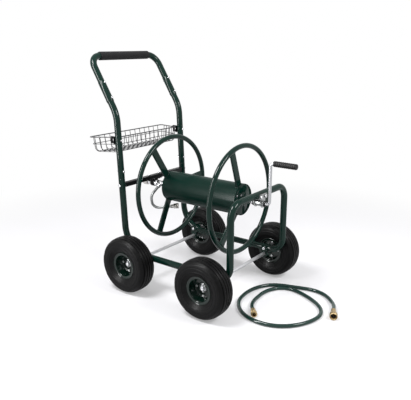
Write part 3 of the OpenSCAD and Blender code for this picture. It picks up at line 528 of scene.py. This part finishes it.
tyre_half = (bead_seat + [sidewall(r, proud) for r, proud in wall] + shoulder
             + shoulder_groove + tread_rib(15.6, 27.2) + tread_rib(2.2, 12))
inner_half = [(120.8, 0), (120.5, 15), (118.5, 28), (114, 36), (106, 40), (97, 41), (88, 40.5),
              (78, 37), (68, 30), (60, 25)]
tyre_outline = (tyre_half + flipped(tyre_half[::-1]) + flipped(inner_half[::-1])
                + inner_half[1:])
rim_lip = [(49, 30.6), (49.5, 32.1), (50.9, 33), (58.2, 33), (59.2, 33.5), (60.2, 34), (61.2, 33.8),
           (61.8, 32.9), (61.6, 31.9), (60.8, 31.2), (59.5, 31), (51, 31), (51, 22)]
rim_dish = ([(15.1, -4), (18.6, -4), (19.6, -3.2), (20.6, -2.6), (24.4, -2.6), (25.4, -3.2),
             (26.4, -4), (40.6, -4), (41.8, -3.5), (42.5, -2.4), (48.4, 20.2), (48.9, 22.6),
             (49, 25)] + rim_lip + [(43.8, -6), (15.1, -6)])
rim_back = ([(15.1, -8), (41.4, -8), (42.9, -8.5), (43.9, -9.8), (48.3, -20.6), (48.9, -23.4),
             (49, -26)] + flipped(rim_lip) + [(45.4, -6.1), (15.1, -6.1)])
cap_outline = [(0.2, 28.1), (4.02, 28.1), (4.02, 18.6), (4.6, 18.6), (4.9, 19), (4.9, 27.4),
               (4.4, 28.6), (3.2, 29.2), (0.2, 29.2)]
cap_plastic = finish_of("black_plastic", (0.004, 0.004, 0.0045), (0.007, 0.007, 0.0075),
                        patch=30, rough=(0.36, 0.5), grain=(600, 0.25), shine=0.18)
valve_place = Matrix.Translation((0.057, 0, 0.0006))
valve_turn, valve_lean = math.radians(45), math.radians(-55)
for axle in ("rear", "front"):
    for side, outward in (("left", 1), ("right", -1)):
        corner = axle + "_" + side
        low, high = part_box(corner + "_tyre")
        # the wheel's own Z points away from the cart
        seat = Matrix.Translation((low + high) / 2) @ Matrix(
            ((-outward, 0, 0, 0), (0, 0, outward, 0), (0, 1, 0, 0), (0, 0, 0, 1)))
        valve = (seat @ Matrix.Rotation(valve_turn, 4, "Z") @ valve_place
                 @ Matrix.Rotation(valve_lean, 4, "Y"))
        tyre = turned(corner + "_tyre_casing", tyre_outline, seat, rubber, steps=128, sharp=40)
        cap = turned(corner + "_valve_cap", cap_outline, valve, cap_plastic, lobes=(4.5, 8))
        dish = turned(corner + "_rim_dish", rim_dish, seat, rim_enamel, steps=96)
        back = turned(corner + "_rim_back", rim_back, seat, rim_enamel, steps=96)
        wheel = corner + "_wheel"
        assign(tyre, wheel, corner + "_tyre")
        assign(cap, wheel)
        assign(dish, wheel, corner + "_rim")
        assign(back, wheel, corner + "_rim")
        dress([corner + "_inner_tube"], rubber)
        # hub tubes and rim bolts take the zinc with painted shade, for the dark dish they sit in
        # and reflect
        ease([corner + "_hub", corner + "_rim_bolts"], zinc_painted_shade, 0.4, wheel)

# ---------------------------------------------------------------------------
# Basket. Steel wire bent and spot-welded into an open tray, hung on the legs by
# two clips and finished in a dark grey powder coat.
wire_coat = finish_of("basket_wire", (0.032, 0.032, 0.034), (0.05, 0.05, 0.053),
                      patch=30, rough=(0.32, 0.45), grain=(700, 0.2))
dress(["wire_basket"], wire_coat)

# ---------------------------------------------------------------------------
# Foam grip. A closed-cell foam sleeve pushed over the handle bar, its ends
# rounded and its skin finely pitted.
foam = finish_of("grip_foam", (0.0095, 0.0095, 0.010), (0.015, 0.015, 0.016),
                 patch=22, rough=(0.72, 0.9), grain=(1100, 0.8), shine=0.2)
low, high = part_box("handle_grip")
grip_middle = (low + high) / 2
grip_half = (high.y - low.y) / 2 * 1000
foam_bore, foam_r = 15.06, 19.5
grip_end = [(foam_bore, -grip_half), (foam_r - 1.9, -grip_half), (foam_r - 0.6, -grip_half + 0.7),
            (foam_r - 0.1, -grip_half + 2.2), (foam_r, -grip_half + 5)]
grip_outline = grip_end + [(foam_r, h) for h in range(-140, 150, 20)] + flipped(grip_end[::-1])
handle_foam = turned("handle_foam_grip", grip_outline, along(grip_middle, (0, 1, 0)), foam,
                     steps=48, sharp=50)
assign(handle_foam, "cart_frame", "handle_grip")

# ---------------------------------------------------------------------------
# Bushes and seals. The reel's front shaft runs in two plastic bushes; rubber
# rings seal the swivel, and a flat washer seals the leader hose's nut.
seal_rubber = finish_of("seal_rubber", (0.012, 0.012, 0.012), (0.018, 0.018, 0.018),
                        patch=30, rough=(0.55, 0.7), grain=(600, 0.3))
dress(["front_bearing_bushes"], cap_plastic)
dress(["swivel_seals", "leader_washer"], seal_rubber)

# ---------------------------------------------------------------------------
# Crank grip. A black plastic sleeve moulded with finger ribs, free to turn on
# the crank's end, with a snap-in cap over the pin that keeps it there.
low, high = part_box("crank_grip")
grip_near = Vector((low.x, (low.y + high.y) / 2, (low.z + high.z) / 2))
grip_far = Vector((high.x, grip_near.y, grip_near.z))
grip_long = (high.x - low.x) * 1000
grip_bore, rib_root, rib_top = 7.1, 11.7, 12.5
ribs = 11
rib_pitch = (grip_long - 5) / (ribs - 1)
rib_shape = [(rib_root + 0.2, 0.3), (rib_top - 0.1, 1.3), (rib_top, 2.5), (rib_top - 0.1, 3.7),
             (rib_root + 0.2, 4.7), (rib_root, 5.4)]
crank_outline = [(grip_bore, 0), (10.4, 0), (11.4, 0.7), (rib_root, 2)]
crank_outline += rib_shape[3:]
for i in range(1, ribs):
    crank_outline += [(r, i * rib_pitch + h) for r, h in rib_shape]
crank_outline[-1] = (11.4, grip_long - 0.2)
crank_outline += [(10.4, grip_long), (grip_bore, grip_long)]
crank_sleeve = turned("crank_hand_grip", crank_outline, along(grip_near, (1, 0, 0)),
                      cap_plastic, steps=48, sharp=50)
end_cap = turned("crank_grip_cap",
                 [(10.2, 0), (11.3, 0), (11.5, 0.4), (11.5, 2.4), (10.9, 3.3), (9.6, 3.7),
                  (0.2, 3.9), (0.2, 2.7), (10.2, 2.7)],
                 along(grip_far, (1, 0, 0)), cap_plastic, steps=48)
assign(crank_sleeve, "grip", "crank_grip")
assign(end_cap, "grip")

# ---------------------------------------------------------------------------
# Reel. Drum, end plates, hoops and flat spokes, welded together and sprayed
# in the frame's green, which lies softer on the drum's rolled sheet.
dress(["rear_hoop", "front_hoop", "reel_spokes"], enamel)
drum_enamel = finish_of("drum_enamel", (0.0014, 0.0150, 0.0104), (0.0021, 0.0185, 0.0130),
                        patch=9, rough=(0.3, 0.42), grain=(260, 0.06), coat=0.17, coat_haze=0.2,
                        shine=0.02)
dress(["drum"], drum_enamel)
ease(["drum_end_plates"], enamel, 0.6, "reel")

weld_curve = bpy.data.curves.new("reel_weld_beads", "CURVE")
weld_curve.dimensions = "3D"
weld_curve.bevel_depth = 0.001
weld_curve.bevel_resolution = 2


def bead(points, size):
    """A closed weld bead through points in mm from the swivel, with the ripples of its making."""
    run = weld_curve.splines.new("POLY")
    run.points.add(len(points) - 1)
    run.use_cyclic_u = True
    for i, (point, spot) in enumerate(zip(run.points, points)):
        point.co = (*(swivel + Vector(spot) / 1000), 1)
        point.radius = size * (1 + 0.16 * math.sin(i * 2.1) + 0.08 * math.sin(i * 0.7))


def once_round(steps):
    """Even angles once round, in radians."""
    return [2 * math.pi * i / steps for i in range(steps)]


def spoke_weld(hoop_x, angle, reach_at, lift):
    """The line round a flat spoke's section, where it meets a round surface."""
    path = []
    for turn in once_round(64):
        side = spoke_t / 2 * math.cos(turn)
        across = (spoke_t / 2 * math.sin(turn)
                  + math.copysign((spoke_w - spoke_t) / 2, math.sin(turn)))
        out = math.sqrt(reach_at(side) ** 2 - across ** 2) + lift
        path.append((hoop_x + side, out * math.cos(angle) + across * math.sin(angle),
                     out * math.sin(angle) - across * math.cos(angle)))
    return path


drum_r = (drum_high.z - drum_low.z) * 500
spoke_w, spoke_t = 36, 10
spoke_bead, seam_bead, plate_bead = 1.7, 1.1, 1.0  # radii
weld_lift, seam_lift, plate_inset, plate_step = 0.4, 0.1, 2.9, 1.5
for hoop, first_spoke in (("rear_hoop", 124), ("front_hoop", 109)):
    low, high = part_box(hoop)
    hoop_x = ((low.x + high.x) / 2 - swivel.x) * 1000
    tube_r = (high.x - low.x) * 500
    hoop_r = (high.z - low.z) * 500 - tube_r
    for i in range(3):
        angle = math.radians((first_spoke + 120 * i) % 360)
        bead(spoke_weld(hoop_x, angle, lambda side: drum_r, weld_lift), spoke_bead)
        bead(spoke_weld(hoop_x, angle,
                        lambda side: hoop_r - math.sqrt(tube_r ** 2 - side ** 2), -weld_lift),
             spoke_bead)
    # the hoop's own butt weld, between its second and third spokes
    seam = math.radians(first_spoke + 177)
    seam_r = tube_r + seam_lift
    bead([(hoop_x + seam_r * math.cos(t), (hoop_r + seam_r * math.sin(t)) * math.cos(seam),
           (hoop_r + seam_r * math.sin(t)) * math.sin(seam)) for t in once_round(40)], seam_bead)
plate_r = drum_r - plate_step
for plate_x in ((drum_low.x - swivel.x) * 1000 + plate_inset,
                (drum_high.x - swivel.x) * 1000 - plate_inset):
    bead([(plate_x, plate_r * math.cos(t), plate_r * math.sin(t)) for t in once_round(220)],
         plate_bead)
weld_beads = bpy.data.objects.new("reel_weld_beads", weld_curve)
scene.collection.objects.link(weld_beads)
weld_curve.materials.append(enamel)
assign(weld_beads, "reel")
